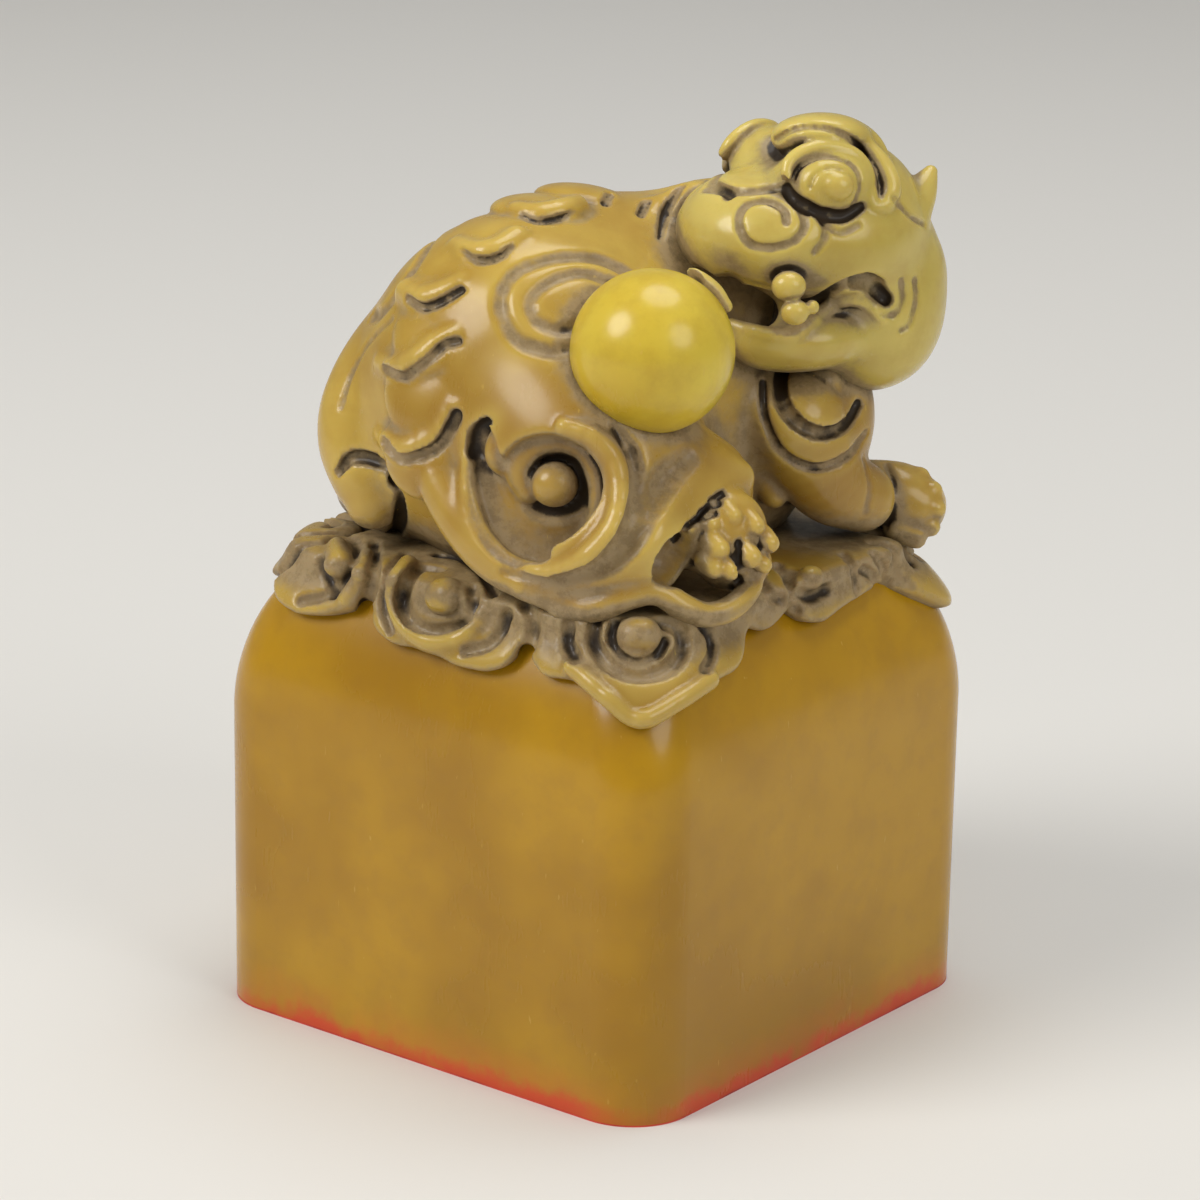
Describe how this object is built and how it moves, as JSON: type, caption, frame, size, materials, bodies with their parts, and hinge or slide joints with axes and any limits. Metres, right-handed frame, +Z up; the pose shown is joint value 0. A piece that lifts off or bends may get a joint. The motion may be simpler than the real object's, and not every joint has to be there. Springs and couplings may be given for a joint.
{
  "type": "seal stamp",
  "caption": "Square carved stone seal stamp with a cushion shoulder, a lobed cloud collar and a crouching guardian-beast knob holding a ball.",
  "frame": {"origin": "middle of the sealing face, on the surface that the seal stands on", "axes": "+Z up from the sealing face to the knob, +X toward the near side that the head turns to, -Y toward the beast's rump"},
  "size_m": [0.032, 0.032, 0.0529],
  "materials": {
    "stone": "polished, waxy",
    "seal_paste": "matte"
  },
  "bodies": {
    "root": {"beast_trunk": "stone", "brows": "stone", "chest": "stone", "cloud_collar": "stone", "corner_cloud_scrolls": "stone", "crest": "stone", "ears": "stone", "eyes": "stone", "face_cloud_scrolls": "stone", "far_fore_paw": "stone", "far_foreleg": "stone", "far_haunch": "stone", "far_haunch_volute": "stone", "far_hind_foot": "stone", "far_shoulder": "stone", "far_shoulder_volute": "stone", "jowl": "stone", "lower_jaw": "stone", "muzzle": "stone", "near_fangs": "stone", "near_fore_paw": "stone", "near_foreleg": "stone", "near_haunch": "stone", "near_haunch_volute": "stone", "near_hind_foot": "stone", "near_shank": "stone", "near_shoulder": "stone", "near_shoulder_volute": "stone", "neck_mane": "stone", "nostril_curls": "stone", "pearl": "stone", "seal_block": "stone", "seal_face_relief": "stone", "seal_paste_film": "seal_paste", "side_lock": "stone", "skull": "stone", "spine_scales": "stone", "tail_lobe": "stone", "tail_lock": "stone", "temple_curls": "stone", "tongue": "stone"}
  },
  "joints": []
}
